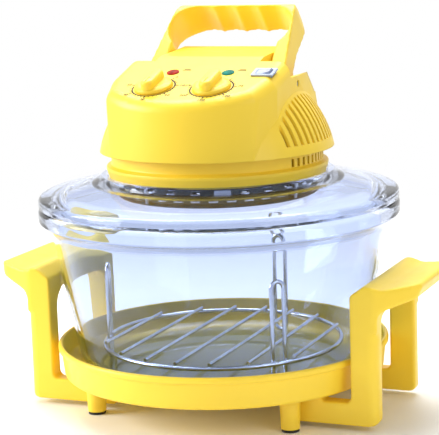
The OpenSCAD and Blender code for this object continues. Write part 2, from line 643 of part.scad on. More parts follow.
module lens(x) on_panel(x, lens_y) {
    translate([0, 0, -6]) cylinder(d = lens_d - 2.2, h = 6.5, $fn = 32);
    translate([0, 0, 0.05]) rotate_extrude($fn = 48) intersection() {
        translate([0, -lens_d]) circle(r = lens_d + 1.8, $fn = 160);
        square([lens_d / 2, 4]);
    }
}
module red_lens() color([0.8, 0.2, 0.1]) lens(lens_x[0]);
module green_lens() color([0, 0.55, 0.5]) lens(lens_x[1]);

module switch_bezel() color([0.6, 0.64, 0.72]) on_panel(switch_x, lens_y) difference() {
    union() {
        translate([-switch_w / 2, -switch_l / 2, 0.05]) cube([switch_w, switch_l, 1.6]);
        translate([-switch_w / 2 + 1.7, -switch_l / 2 + 1.7, -14])
            cube([switch_w - 3.4, switch_l - 3.4, 15]);
    }
    translate([-switch_w / 2 + 3, -switch_l / 2 + 3, -8]) cube([switch_w - 6, switch_l - 6, 12]);
    rotate([90, 0, 0]) cylinder(d = rocker_pin_d + run_gap, h = switch_l - 4, center = true, $fn = 24);
}
rocker_tilt = 8;
rocker_pin_d = 2.4;
module switch_rocker() color([0.6, 0.64, 0.72]) on_panel(switch_x, lens_y) rotate([90, -rocker_tilt, 0]) {
    translate([0, 0, -switch_l / 2 + 3.3]) linear_extrude(switch_l - 6.6) polygon([
        [-switch_w / 2 + 3.9, -2.5], [-switch_w / 2 + 3.7, 2.6], [0, 1.8], [switch_w / 2 - 3.7, 2.6],
        [switch_w / 2 - 3.9, -2.5], [0, -6.5]]);
    cylinder(d = rocker_pin_d, h = switch_l - 4.4, center = true, $fn = 24);
}

// ---- Carrying handle ----
carry_inner = arm_half - carry_arm_w;
grip_half = arm_half - 7;
grip_depth = 13;
module carrying_handle() color(yellow) translate([0, pivot_y, pivot_z]) rotate([carry_lean, 0, 0])
    difference() {
    intersection() {
        // Seen along the grip's thickness: arms that taper to the grip, and finger scallops
        translate([0, 0, -40]) linear_extrude(80) difference() {
            polygon(rounded([
                [-carry_half, -14, 0], [carry_half, -14, 0], [carry_half, 1, 2], [arm_half, 7, 3],
                [arm_half, 16, 20], [grip_half, carry_len - 16, 12], [grip_half - 6, carry_len, 9],
                [6 - grip_half, carry_len, 9], [-grip_half, carry_len - 16, 12], [-arm_half, 16, 20],
                [-arm_half, 7, 3], [-carry_half, 1, 2]]));
            polygon(rounded([
                [-carry_inner, -20, 0], [1 - carry_inner, carry_len - grip_depth, 10],
                [carry_inner - 1, carry_len - grip_depth, 10], [carry_inner, -20, 0]]));
            for (i = [-1.5 : 1.5]) translate([i * 22, carry_len - grip_depth + 2 - 26])
                circle(r = 26, $fn = 96);
        }
        // Seen from the side: round ends at the pivot, then a deep slab that bends down behind
        rotate([90, 0, 90]) translate([0, 0, -carry_half - 1]) linear_extrude(2 * carry_half + 2) union() {
            circle(d = carry_t, $fn = 64);
            polygon(rounded([
                [0, carry_t / 2, 0], [0, -carry_t / 2, 0], [18, -carry_t / 2 - 3, 20],
                    [44, -carry_t / 2 - 5, 24],
                [carry_len - 10, -carry_t / 2 - 19, 7], [carry_len, -carry_t / 2 - 5, 9],
                [carry_len - 9, carry_t / 2 - 3, 8], [carry_len - 20, carry_t / 2, 8]]));
        }
    }
    rotate([0, 90, 0]) cylinder(d = pivot_d + run_gap, h = 2 * carry_half + 4, center = true, $fn = 32);
}
module handle_pins() color(steel) for (s = [0, 1]) mirror([s, 0, 0])
    translate([channel_in - cover_t - 2, pivot_y, pivot_z])
    rotate([0, 90, 0]) cylinder(d = pivot_d, h = console_half - 1 - (channel_in - cover_t - 2), $fn = 32);

// ---- Inside the head, at the walls ----
module interlock_switch() color(dark) translate([channel_in - cover_t - 10.3, pivot_y + 8, pivot_z - 14]) {
    cube([10, 20, 14]);
    translate([3, 6, 14]) cube([4, 3, 2]);
}
module power_inlet() color(dark) translate([0, 0, inlet_z]) difference() {
    union() {
        translate([-inlet_w / 2, 78, -inlet_h / 2]) cube([inlet_w, inlet_y + 1 - 78, inlet_h]);
        translate([-inlet_w / 2 - 3, inlet_y + 0.05, -inlet_h / 2 - 3])
            cube([inlet_w + 6, 1.6, inlet_h + 6]);
    }
    translate([0, inlet_y + 6, 0]) rotate([90, 0, 0]) linear_extrude(22) polygon(rounded([
        [-11.5, -7.5, 2], [11.5, -7.5, 2], [11.5, 3, 4], [7, 7.5, 3], [-7, 7.5, 3], [-11.5, 3, 4]]));
    pin_blades(push_gap, 0);
}
pin_back_y = 72;
module pin_blades(gap, z) for (p = [[-6, -2], [0, 3], [6, -2]])
    translate([p[0] - 1 - gap, pin_back_y, z + p[1] - 1.8 - gap])
        cube([2 + 2 * gap, inlet_y - 6 - pin_back_y, 3.6 + 2 * gap]);
module inlet_pins() color(steel) pin_blades(0, inlet_z);

base_tray();
tray_rim();
side_handle_left();
side_handle_right();
handle_screws();
foot_pads();
foot_screws();
glass_bowl();
rack_ring();
rack_wires();
rack_loops();
glass_lid();
lid_seal();
lid_clamps();
head_base();
head_cover();
cover_screws();
heat_shield();
reflector();
halogen_lamp();
lamp_end_caps();
lamp_clips();
lamp_guard();
guard_posts();
thermostat_bulb();
motor_frame();
motor_bracket();
motor_bushes();
motor_shaft();
hot_air_fan();
cooling_fan();
fan_nut();
timer_body();
timer_shaft();
timer_knob();
thermostat_body();
thermostat_shaft();
thermostat_knob();
red_lens();
green_lens();
switch_bezel();
switch_rocker();
carrying_handle();
handle_pins();
interlock_switch();
power_inlet();
inlet_pins();
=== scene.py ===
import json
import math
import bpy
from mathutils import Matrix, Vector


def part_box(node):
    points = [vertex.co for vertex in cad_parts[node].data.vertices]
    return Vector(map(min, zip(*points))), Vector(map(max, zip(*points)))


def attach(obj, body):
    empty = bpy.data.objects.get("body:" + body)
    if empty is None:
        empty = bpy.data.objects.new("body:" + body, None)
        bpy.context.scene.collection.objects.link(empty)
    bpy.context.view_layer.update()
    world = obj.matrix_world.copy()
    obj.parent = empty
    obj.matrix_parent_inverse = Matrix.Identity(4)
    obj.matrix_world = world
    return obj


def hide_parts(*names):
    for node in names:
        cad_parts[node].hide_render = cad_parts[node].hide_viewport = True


bl_info = {
    "name": "Halogen Oven",
    "version": (1, 0, 0),
    "blender": (4, 5, 0),
    "location": "View3D > Sidebar > Oven",
    "description": "Dresses the packed halogen oven with moulded, glass and wire pieces, and sets its stage",
    "category": "Add Mesh",
}

import bmesh
import bpy
from mathutils import Matrix, Vector

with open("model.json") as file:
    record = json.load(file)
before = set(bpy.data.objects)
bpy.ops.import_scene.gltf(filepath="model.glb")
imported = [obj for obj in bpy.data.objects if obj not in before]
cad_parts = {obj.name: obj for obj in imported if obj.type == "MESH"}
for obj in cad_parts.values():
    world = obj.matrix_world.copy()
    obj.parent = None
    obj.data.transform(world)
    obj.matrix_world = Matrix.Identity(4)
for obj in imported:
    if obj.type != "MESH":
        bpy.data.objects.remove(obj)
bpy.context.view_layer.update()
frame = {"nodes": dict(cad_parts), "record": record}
NODES = frame["nodes"]
SLOT_OF = {row["node"]: row["material_slot"] for row in frame["record"]["subparts"]}


# ---------------------------------------------------------------- materials


def linear(colour):
    """A colour written as sRGB, as linear light."""
    return tuple(c / 12.92 if c <= 0.04045 else ((c + 0.055) / 1.055) ** 2.4 for c in colour[:3]) + (1.0,)


class Finish:
    """A Principled material with a few named layers of procedural detail on Object coordinates."""

    def __init__(self, name):
        self.material = bpy.data.materials.new(name)
        self.material.use_nodes = True
        self.tree = self.material.node_tree
        self.shader = self.tree.nodes["Principled BSDF"]
        self.place = self.tree.nodes.new("ShaderNodeTexCoord").outputs["Object"]
        self.last_bump = None

    def set(self, **values):
        for name, value in values.items():
            self.shader.inputs[name.replace("_", " ")].default_value = value
        return self

    def node(self, kind, **values):
        made = self.tree.nodes.new(kind)
        for name, value in values.items():
            made.inputs[name.replace("_", " ")].default_value = value
        return made

    def link(self, source, target):
        self.tree.links.new(source, target)

    def noise(self, scale, detail=3.0, stretch=None):
        made = self.node("ShaderNodeTexNoise", Scale=scale, Detail=detail)
        if stretch:
            mapping = self.node("ShaderNodeMapping", Scale=stretch)
            self.link(self.place, mapping.inputs["Vector"])
            self.link(mapping.outputs["Vector"], made.inputs["Vector"])
        else:
            self.link(self.place, made.inputs["Vector"])
        return made.outputs["Fac"]

    def spread(self, value, low, high):
        made = self.node("ShaderNodeMapRange", To_Min=low, To_Max=high)
        made.inputs["From Min"].default_value = 0.3
        made.inputs["From Max"].default_value = 0.7
        self.link(value, made.inputs["Value"])
        return made.outputs["Result"]

    def two_colours(self, value, first, second):
        ramp = self.node("ShaderNodeValToRGB")
        ramp.color_ramp.elements[0].position = 0.35
        ramp.color_ramp.elements[1].position = 0.65
        ramp.color_ramp.elements[0].color = linear(first)
        ramp.color_ramp.elements[1].color = linear(second)
        self.link(value, ramp.inputs["Fac"])
        self.link(ramp.outputs["Color"], self.shader.inputs["Base Color"])
        return self

    def fade_out(self, near, far):
        """Clear beyond a distance from the middle, so that the floor ends softly."""
        away = self.node("ShaderNodeVectorMath")
        away.operation = "LENGTH"
        self.link(self.place, away.inputs[0])
        made = self.node("ShaderNodeMapRange", From_Min=near, From_Max=far, To_Min=1.0, To_Max=0.0)
        self.link(away.outputs["Value"], made.inputs["Value"])
        self.link(made.outputs["Result"], self.shader.inputs["Alpha"])

    def rough(self, value, low, high):
        self.link(self.spread(value, low, high), self.shader.inputs["Roughness"])
        return self

    def soft_edges(self, radius):
        """Edges catch the light as a moulding's small radii do."""
        made = self.node("ShaderNodeBevel", Radius=radius)
        made.samples = 6
        self.link(made.outputs["Normal"], self.shader.inputs["Normal"])
        self.last_bump = made.outputs["Normal"]
        return self

    def bump(self, height, distance, strength=1.0):
        made = self.node("ShaderNodeBump", Strength=strength, Distance=distance)
        self.link(height, made.inputs["Height"])
        if self.last_bump:
            self.link(self.last_bump, made.inputs["Normal"])
        self.link(made.outputs["Normal"], self.shader.inputs["Normal"])
        self.last_bump = made.outputs["Normal"]
        return self


def shade(colour, factor):
    return tuple(max(0.0, min(1.0, c * factor)) for c in colour)


def moulded_plastic(name, colour, roughness=0.42, coat=0.12, grain=0.00004):
    """Satin moulding: slow colour drift, faint sink marks and a fine spark-eroded grain."""
    f = Finish(name)
    f.set(Coat_Weight=coat, Coat_Roughness=0.28, IOR=1.45)
    f.soft_edges(0.0012)
    f.two_colours(f.noise(9, 2), shade(colour, 0.985), colour)
    f.rough(f.noise(60, 4), roughness - 0.04, roughness + 0.05)
    f.bump(f.noise(16, 1), 0.0006, 0.25)
    f.bump(f.noise(2600, 2), grain, 0.35)
    return f.material


def clear_glass(name, colour):
    """Pressed glass: faint flow waves from the mould and a trace of haze."""
    f = Finish(name)
    f.set(Base_Color=linear(colour), Transmission_Weight=1.0, IOR=1.11, Coat_Weight=0.6, Coat_IOR=1.45,
          Coat_Roughness=0.02)
    f.rough(f.noise(40, 3), 0.0, 0.03)
    f.bump(f.noise(14, 2), 0.0012, 0.25)
    return f.material


def drawn_wire(name, colour):
    f = Finish(name)
    f.set(Metallic=1.0)
    f.two_colours(f.noise(45, 3), shade(colour, 0.9), colour)
    f.rough(f.noise(120, 4), 0.14, 0.26)
    f.bump(f.noise(700, 3), 0.00004, 0.4)
    return f.material


def sheet_metal(name, colour, roughness=0.32, stretch=(1, 1, 18)):
    """Rolled sheet: fine brushed lines and cloudy roughness."""
    f = Finish(name)
    f.set(Metallic=1.0)
    f.two_colours(f.noise(20, 3), shade(colour, 0.9), colour)
    f.rough(f.noise(500, 3, stretch), roughness - 0.08, roughness + 0.1)
    f.bump(f.noise(900, 2, stretch), 0.00003, 0.4)
    return f.material


def painted_steel(name, colour, roughness=0.5):
    """Heat-proof paint with an orange-peel skin and rubbed spots."""
    f = Finish(name)
    f.set(Metallic=0.35, Coat_Weight=0.15, Coat_Roughness=0.3)
    f.two_colours(f.noise(70, 4), shade(colour, 0.8), shade(colour, 1.15))
    f.rough(f.noise(90, 4), roughness - 0.1, roughness + 0.12)
    f.bump(f.noise(900, 3), 0.00008, 0.5)
    return f.material


def soft_rubber(name, colour, roughness=0.75):
    f = Finish(name)
    f.two_colours(f.noise(50, 4), shade(colour, 0.85), shade(colour, 1.15))
    f.rough(f.noise(150, 4), roughness - 0.08, roughness + 0.08)
    f.bump(f.noise(1200, 3), 0.00012, 0.6)
    return f.material


def matt_moulding(name, colour, roughness=0.6):
    f = Finish(name)
    f.two_colours(f.noise(30, 3), shade(colour, 0.93), colour)
    f.rough(f.noise(100, 4), roughness - 0.07, roughness + 0.07)
    f.bump(f.noise(1500, 3), 0.0001, 0.5)
    return f.material


def lens_plastic(name, colour):
    """Coloured lens: a deep colour with little gloss and a faint ripple."""
    f = Finish(name)
    f.set(Specular_IOR_Level=0.12, IOR=1.3)
    f.two_colours(f.noise(220, 2), shade(colour, 0.75), shade(colour, 1.12))
    f.rough(f.noise(200, 2), 0.28, 0.4)
    f.bump(f.noise(500, 1), 0.0001, 0.3)
    return f.material


def turned_metal(name, colour, roughness=0.25):
    f = Finish(name)
    f.set(Metallic=1.0)
    f.two_colours(f.noise(60, 3), shade(colour, 0.85), colour)
    f.rough(f.noise(200, 3), roughness - 0.06, roughness + 0.1)
    f.bump(f.noise(1500, 2), 0.00003, 0.4)
    return f.material


def make_finishes(c):
    return {
        "yellow_plastic": moulded_plastic("Yellow moulding", c.yellow),
        "clear_glass": clear_glass("Pressed glass", c.glass),
        "rack_chrome": drawn_wire("Plated wire", (0.86, 0.87, 0.88)),
        "screw_steel": turned_metal("Screw steel", (0.78, 0.79, 0.8)),
        "sheet_steel": sheet_metal("Pressed steel sheet", (0.8, 0.81, 0.82)),
        "sheet_aluminium": sheet_metal("Bright aluminium sheet", (0.88, 0.89, 0.9), 0.22),
        "guard_steel": painted_steel("Dark guard paint", c.guard),
        "black_rubber": soft_rubber("Black rubber", (0.1, 0.1, 0.1)),
        "seal_silicone": soft_rubber("Dark silicone", (0.2, 0.2, 0.21), 0.55),
        "lamp_quartz": clear_glass("Lamp quartz", (0.97, 0.96, 0.92)),
        "lamp_ceramic": matt_moulding("White ceramic", (0.93, 0.92, 0.89), 0.55),
        "bulb_copper": turned_metal("Copper bulb", (0.78, 0.5, 0.36)),
        "motor_iron": painted_steel("Laminated iron", (0.26, 0.26, 0.28)),
        "bush_brass": turned_metal("Turned brass", (0.83, 0.68, 0.4)),
        "dial_body_plastic": matt_moulding("Dial body moulding", (0.88, 0.85, 0.76)),
        "lens_red": lens_plastic("Red lens", c.red),
        "lens_green": lens_plastic("Green lens", c.green),
        "switch_grey": moulded_plastic("Grey-blue switch moulding", c.switch, 0.25, 0.6),
        "black_plastic": matt_moulding("Black moulding", (0.12, 0.12, 0.12), 0.5),
        "panel_ink": matt_moulding("Panel ink", (0.06, 0.06, 0.03), 0.85),
    }


# ---------------------------------------------------------------- shapes

MM = 0.001
FINISHES = {}


def rounded(points, steps=7):
    """A closed outline of [x, y, corner radius] in mm, with each corner an arc."""
    out = []
    for i, (x, y, r) in enumerate(points):
        here = Vector((x, y))
        back = (Vector(points[i - 1][:2]) - here).normalized()
        on = (Vector(points[(i + 1) % len(points)][:2]) - here).normalized()
        if r <= 0:
            out.append(here)
            continue
        half = math.acos(max(-1, min(1, back.dot(on)))) / 2
        middle = here + (back + on).normalized() * (r / math.sin(half))
        start = here + back * (r / math.tan(half)) - middle
        end = here + on * (r / math.tan(half)) - middle
        sweep = start.angle_signed(end) * -1
        for k in range(steps + 1):
            a = sweep * k / steps
            out.append(middle + Vector((start.x * math.cos(a) - start.y * math.sin(a),
                                        start.x * math.sin(a) + start.y * math.cos(a))))
    return out


def settle(bm):
    bmesh.ops.remove_doubles(bm, verts=bm.verts, dist=2e-6)
    bmesh.ops.recalc_face_normals(bm, faces=bm.faces)
    return bm


def revolve(outline, steps=180, closed=True):
    """An outline in mm of (radius, height), spun round the Z axis."""
    bm = bmesh.new()
    verts = [bm.verts.new((p[0] * MM, 0, p[1] * MM)) for p in outline]
    pairs = list(zip(verts, verts[1:])) + ([(verts[-1], verts[0])] if closed else [])
    edges = [bm.edges.new(pair) for pair in pairs]
    bmesh.ops.spin(bm, geom=verts + edges, cent=(0, 0, 0), axis=(0, 0, 1), dvec=(0, 0, 0),
                   angle=2 * math.pi, steps=steps, use_merge=True, use_duplicate=False)
    return settle(bm)


def slab(outline, low, high):
    """An outline in mm of (x, y), raised from low to high."""
    bm = bmesh.new()
    face = bm.faces.new([bm.verts.new((p[0] * MM, p[1] * MM, low * MM)) for p in outline])
    made = bmesh.ops.extrude_face_region(bm, geom=[face])
    bmesh.ops.translate(bm, vec=(0, 0, (high - low) * MM),
                        verts=[v for v in made["geom"] if isinstance(v, bmesh.types.BMVert)])
    return settle(bm)


def block(low, high):
    """A box in mm between two corners."""
    bm = bmesh.new()
    bmesh.ops.create_cube(bm, size=1)
    for v in bm.verts:
        v.co = Vector([(low[i] if v.co[i] < 0 else high[i]) * MM for i in range(3)])
    return bm


def rod(radius, low, high):
    """A cylinder in mm along Z."""
    bm = bmesh.new()
    bmesh.ops.create_cone(bm, cap_ends=True, segments=48, radius1=radius * MM, radius2=radius * MM,
                          depth=(high - low) * MM)
    bmesh.ops.translate(bm, vec=(0, 0, (high + low) / 2 * MM), verts=bm.verts)
    return bm


def joined(parts):
    """Several bmeshes as one."""
    out = bmesh.new()
    for part in parts:
        mesh = bpy.data.meshes.new("part")
        part.to_mesh(mesh)
        part.free()
        out.from_mesh(mesh)
        bpy.data.meshes.remove(mesh)
    return out


def moved(bm, matrix):
    bmesh.ops.transform(bm, matrix=matrix, verts=bm.verts)
    return bm


def as_object(name, bm):
    mesh = bpy.data.meshes.new(name)
    bm.to_mesh(mesh)
    bm.free()
    made = bpy.data.objects.new(name, mesh)
    bpy.context.scene.collection.objects.link(made)
    return made


def applied(obj):
    """The object with its modifiers worked into its mesh."""
    bpy.context.view_layer.update()
    mesh = bpy.data.meshes.new_from_object(obj.evaluated_get(bpy.context.evaluated_depsgraph_get()))
    obj.modifiers.clear()
    old = obj.data
    obj.data = mesh
    bpy.data.meshes.remove(old)
    return obj


def combine(obj, bm, operation):
    """Adds or takes away a shape, and raises if that changes nothing."""
    tool, before = as_object("tool", bm), (len(obj.data.vertices), len(obj.data.polygons))
    cut = obj.modifiers.new("combine", "BOOLEAN")
    cut.operation, cut.solver, cut.object = operation, "MANIFOLD", tool
    applied(obj)
    bpy.data.objects.remove(tool)
    if not obj.data.vertices or before == (len(obj.data.vertices), len(obj.data.polygons)):
        raise RuntimeError(f"{obj.name}: {operation} changed nothing")
    return obj


def finish_piece(obj, body, slot, replaces=(), angle=35, finish=None):
    """Smooth shading with crisp edges past an angle, a finish, a body and the nodes it stands for."""
    obj.data.shade_smooth()
    obj.data.set_sharp_from_angle(angle=math.radians(angle))
    obj.data.materials.clear()
    obj.data.materials.append(FINISHES[finish or slot])
    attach(obj, body)
    if replaces:
        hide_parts(*replaces)
    return obj


def softened(name, node, voxel, rounds):
    """A copy of a CAD node with its edges rounded over, as a mould leaves them."""
    bm = bmesh.new()
    bm.from_mesh(NODES[node].data)
    settle(bm)
    obj = as_object(name, bm)
    grid = obj.modifiers.new("grid", "REMESH")
    grid.mode, grid.voxel_size = "VOXEL", voxel * MM
    smooth = obj.modifiers.new("smooth", "SMOOTH")
    smooth.factor, smooth.iterations = 0.5, rounds
    return applied(obj)


def low_of(node):
    """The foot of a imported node, in mm."""
    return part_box(node)[0].z / MM


# ---------------------------------------------------------------- properties


class OvenColours(bpy.types.PropertyGroup):
    """Colours of the finishes, written as they should look"""

    yellow: bpy.props.FloatVectorProperty(
        name="Yellow", description="Moulded plastic", subtype="COLOR_GAMMA", default=(1.0, 0.855, 0.23))
    glass: bpy.props.FloatVectorProperty(
        name="Glass", description="Bowl and lid", subtype="COLOR_GAMMA", default=(0.84, 0.875, 0.955))
    guard: bpy.props.FloatVectorProperty(
        name="Guard", description="Lamp guard's paint", subtype="COLOR_GAMMA", default=(0.22, 0.26, 0.26))
    red: bpy.props.FloatVectorProperty(
        name="Red lens", description="Lens of the power lamp", subtype="COLOR_GAMMA", default=(0.66, 0.13, 0.03))
    green: bpy.props.FloatVectorProperty(
        name="Green lens", description="Lens of the heating lamp", subtype="COLOR_GAMMA", default=(0.0, 0.45, 0.4))
    switch: bpy.props.FloatVectorProperty(
        name="Switch", description="Rocker and its bezel", subtype="COLOR_GAMMA", default=(0.62, 0.68, 0.8))


class OvenHead(bpy.types.PropertyGroup):
    """Sizes of the head, in mm"""

    radius: bpy.props.FloatProperty(name="Radius", description="Of the cover's lower edge", default=105)
    half: bpy.props.FloatProperty(name="Half width", description="Of the console", default=78)
    edge: bpy.props.FloatProperty(name="Edge", description="Rounding of the console's edges", default=12)
    wall: bpy.props.FloatProperty(name="Wall", description="Of the cover", default=3)
    slope: bpy.props.FloatProperty(
        name="Slope", description="Of the control panel", subtype="ANGLE", default=math.radians(17.5))
    front: bpy.props.FloatProperty(name="Front", description="Panel's front edge above the cover", default=52)
    crease: bpy.props.FloatProperty(name="Crease", description="Where the slope ends, along Y", default=-2)
    louvres: bpy.props.IntProperty(name="Louvres", description="On each side", default=15)
    pitch: bpy.props.FloatProperty(name="Pitch", description="Of the louvres", default=7.5)
    arm_in: bpy.props.FloatProperty(name="Channel in", description="Channels' inner walls", default=50)
    arm_out: bpy.props.FloatProperty(name="Channel out", description="Channels' outer walls", default=74.5)
    dial_x: bpy.props.FloatProperty(name="Dial x", description="Dials from the middle", default=27)
    dial_y: bpy.props.FloatProperty(name="Dial y", description="Dials along Y", default=-71.5)
    lens_y: bpy.props.FloatProperty(name="Lens y", description="Lenses and switch along Y", default=-41)
    knob_r: bpy.props.FloatProperty(name="Knob radius", description="Of the skirt", default=17)
    knob_h: bpy.props.FloatProperty(name="Knob height", description="Of the grip", default=11.5)


class OvenStage(bpy.types.PropertyGroup):
    """Camera and floor"""

    azimuth: bpy.props.FloatProperty(
        name="Azimuth", description="Camera's turn from the front to the right", subtype="ANGLE",
        default=math.radians(23))
    distance: bpy.props.FloatProperty(
        name="Distance", description="From the oven's axis, along the floor", unit="LENGTH", default=1.5)
    height: bpy.props.FloatProperty(
        name="Height", description="Of the camera above the floor", unit="LENGTH", default=0.44)
    pitch: bpy.props.FloatProperty(
        name="Pitch", description="Camera's tilt below level", subtype="ANGLE", default=math.radians(10.26))
    roll: bpy.props.FloatProperty(
        name="Roll", description="Camera's turn about its own line of sight", subtype="ANGLE",
        default=math.radians(-1.91))
    lens: bpy.props.FloatProperty(
        name="Focal length", description="On a 36 mm sensor", default=138.3)


# ---------------------------------------------------------------- operators


class OVEN_OT_finishes(bpy.types.Operator):
    """Give every CAD node the finish of its material slot"""

    bl_idname = "oven.finishes"
    bl_label = "Finishes"

    def execute(self, context):
        FINISHES.update(make_finishes(context.scene.oven_colours))
        for name, node in NODES.items():
            node.data.materials.clear()
            node.data.materials.append(FINISHES[SLOT_OF[name]])
        return {"FINISHED"}


class OVEN_OT_glass(bpy.types.Operator):
    """Bowl with a rolled rim and lid with a raised collar, in pressed glass"""

    bl_idname = "oven.glass"
    bl_label = "Bowl and lid"

    def execute(self, context):
        low = low_of("glass_bowl")
        bowl = rounded([
            (0, 0, 0), (127.7, 0, 24), (153, 135, 12), (162.5, 138, 3), (162.5, 151, 4.5), (150.5, 151, 3),
            (148, 136, 8), (122.7, 5, 19), (0, 5, 0)], 12)
        made = as_object("bowl_glass", revolve([(r, low + z) for r, z in bowl], 240, closed=False))
        finish_piece(made, "bowl", "clear_glass", ["glass_bowl"], 60)
        low = low_of("glass_lid") + 6
        lid = rounded([
            (93.5, 16.5, 1), (113, 15.3, 12), (140.5, 6, 12), (142, -6, 1.5), (147, -6, 1.5), (147.5, 0, 0.8),
            (162, 0, 1.5), (162, 8.5, 5), (148.5, 12.5, 14), (113, 20.7, 12), (104.5, 26.1, 3), (99, 26.1, 1.2),
            (98.2, 21.5, 0.6), (93.5, 21.5, 1)], 10)
        made = as_object("lid_glass", revolve([(r, low + z) for r, z in lid], 240))
        finish_piece(made, "lid", "clear_glass", ["glass_lid"], 60)
        return {"FINISHED"}


class OVEN_OT_tray(bpy.types.Operator):
    """Tray's rim with its bead, and the side handles with softened edges"""

    bl_idname = "oven.tray"
    bl_label = "Tray and side handles"

    def execute(self, context):
        low = low_of("tray_rim")
        rim = rounded([
            (132.55, 0, 0), (145.5, 0, 4), (148.1, 23.5, 1), (150.5, 23.8, 1.6), (150.5, 29.5, 2.6),
            (146.5, 29.5, 1.6), (143, 12.5, 6), (136.5, 3.5, 6), (132.55, 3.5, 0)], 10)
        made = as_object("rim_moulding", revolve([(r, low + z) for r, z in rim], 240))
        finish_piece(made, "base", "yellow_plastic", ["tray_rim"])
        for side in ("left", "right"):
            made = softened(f"grip_{side}", f"side_handle_{side}", 1.25, 7)
            finish_piece(made, "base", "yellow_plastic", [f"side_handle_{side}"], 180)
        return {"FINISHED"}


class Head:
    """The head's own forms, drawn from its sizes"""

    def __init__(self, sizes):
        self.s = sizes
        self.z = low_of("head_cover")
        self.top = self.panel_z(0) + 3
        self.pivot = (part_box("handle_pins")[0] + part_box("handle_pins")[1]) / 2 / MM
        self.back = 62

    def panel_z(self, y):
        s = self.s
        return self.z + s.front + math.tan(s.slope) * (min(y, s.crease) + s.radius - 6)

    def on_panel(self, x, y, up=0.0, turn=0.0):
        return (Matrix.Translation(Vector((x, y, self.panel_z(y))) * MM) @ Matrix.Rotation(self.s.slope, 4, "X")
                @ Matrix.Translation((0, 0, up * MM)) @ Matrix.Rotation(turn, 4, "Z"))

    def console(self, t):
        """Hull over the console's plan and the balls along its upper edge, drawn in by t."""
        s, bm = self.s, bmesh.new()
        low = self.z - (1 if t else 0)
        side_back = math.sqrt((s.radius - 5) ** 2 - s.half ** 2)
        arc = [math.radians(a) for a in range(-40, 41, 2)]
        plan = [((s.radius - t) * math.sin(a), -(s.radius - t) * math.cos(a)) for a in arc]
        for sign in (-1, 1):
            plan += [(sign * (s.half - t), -50), (sign * (s.half - t), side_back - t), (sign * (s.half - 26), 80 - t)]
        for x, y in plan:
            bm.verts.new(Vector((x, y, low)) * MM)
            bm.verts.new(Vector((x, y, low + 2)) * MM)
        run, side = s.radius - s.edge, s.half - s.edge
        drop = s.edge / math.cos(s.slope)
        middles = [(run * math.sin(a), -run * math.cos(a)) for a in arc[::2]] + [
            (sign * side, y) for sign in (-1, 1) for y in (-48, s.crease - 2)]
        middles = [(x, y, self.panel_z(y) - drop) for x, y in middles]
        middles += [(sign * (side - 6), self.back - s.edge, self.top - s.edge) for sign in (-1, 1)]
        for place in middles:
            bmesh.ops.create_uvsphere(bm, u_segments=28, v_segments=14, radius=(s.edge - t) * MM,
                                      matrix=Matrix.Translation(Vector(place) * MM))
        points = [v.co.copy() for v in bm.verts]
        bm.clear()
        for point in points:
            bm.verts.new(point)
        made = bmesh.ops.convex_hull(bm, input=bm.verts)
        inside = {v for v in made["geom_interior"] + made["geom_unused"] if isinstance(v, bmesh.types.BMVert)}
        bmesh.ops.delete(bm, geom=list(inside), context="VERTS")
        bmesh.ops.dissolve_limit(bm, angle_limit=math.radians(0.15), verts=bm.verts, edges=bm.edges)
        return settle(bm)

    def dome(self, t):
        s = self.s
        cx, cz = 7, -20
        big = math.hypot(s.radius - cx, cz) - t
        cap = s.front + 10 - t
        foot = -1 if t else 0
        first, last = math.asin((foot - cz) / big), math.asin((cap - cz) / big)
        arc = [first + (last - first) * i / 40 for i in range(41)]
        outline = [(0, foot)] + [(cx + big * math.cos(a), cz + big * math.sin(a)) for a in arc] + [(0, cap)]
        return revolve([(r, self.z + z) for r, z in outline], 240, closed=False)

    def inlet(self, t):
        low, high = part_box("power_inlet")
        return block((low.x / MM - 3 + t, 60, low.z / MM - 2 + t),
                     (high.x / MM + 3 - t, high.y / MM - 1.65 - t, high.z / MM + 2 - t))

    def channels(self, t):
        s, p = self.s, self.pivot
        parts = []
        for sign in (-1, 1):
            for inner, outer, y, z in ((s.arm_in - t, s.arm_out + t, p.y - 13 - t, p.z - 13 - t),
                                       (s.arm_in - t, 220, p.y - 18 - t, p.z + 7 - t)):
                ends = sorted((sign * inner, sign * outer))
                parts.append(block((ends[0], y, z), (ends[1], 230, z + 100)))
        return parts

    def cutters(self):
        """Louvres and every hole that a piece of the head passes through."""
        s, parts, louvres = self.s, [], []
        for sign in (-1, 1):
            for i in range(s.louvres):
                y = (i - (s.louvres - 1) / 2) * s.pitch
                ends = sorted((sign * (s.half + 2), sign * 150))
                louvres.append(block((ends[0], y - 1.8, self.z + 8.5), (ends[1], y + 1.8, self.z + 69)))
            parts.append(moved(rod(4, -10, 10), self.on_panel(sign * s.dial_x, s.dial_y)))
        for x in LENS_X:
            parts.append(moved(rod(4.5, -10, 10), self.on_panel(x, s.lens_y)))
        parts.append(moved(block((-8.5, -6, -10), (8.5, 6, 10)), self.on_panel(SWITCH_X, s.lens_y)))
        across = Matrix.Translation(self.pivot * MM) @ Matrix.Rotation(math.pi / 2, 4, "Y")
        parts.append(moved(rod(3.05, -s.half - 2, s.half + 2), across))
        low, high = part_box("power_inlet")
        parts.append(block((low.x / MM + 2.8, 80, low.z / MM + 2.8), (high.x / MM - 2.8, 120, high.z / MM - 2.8)))
        return parts + [joined(louvres)]


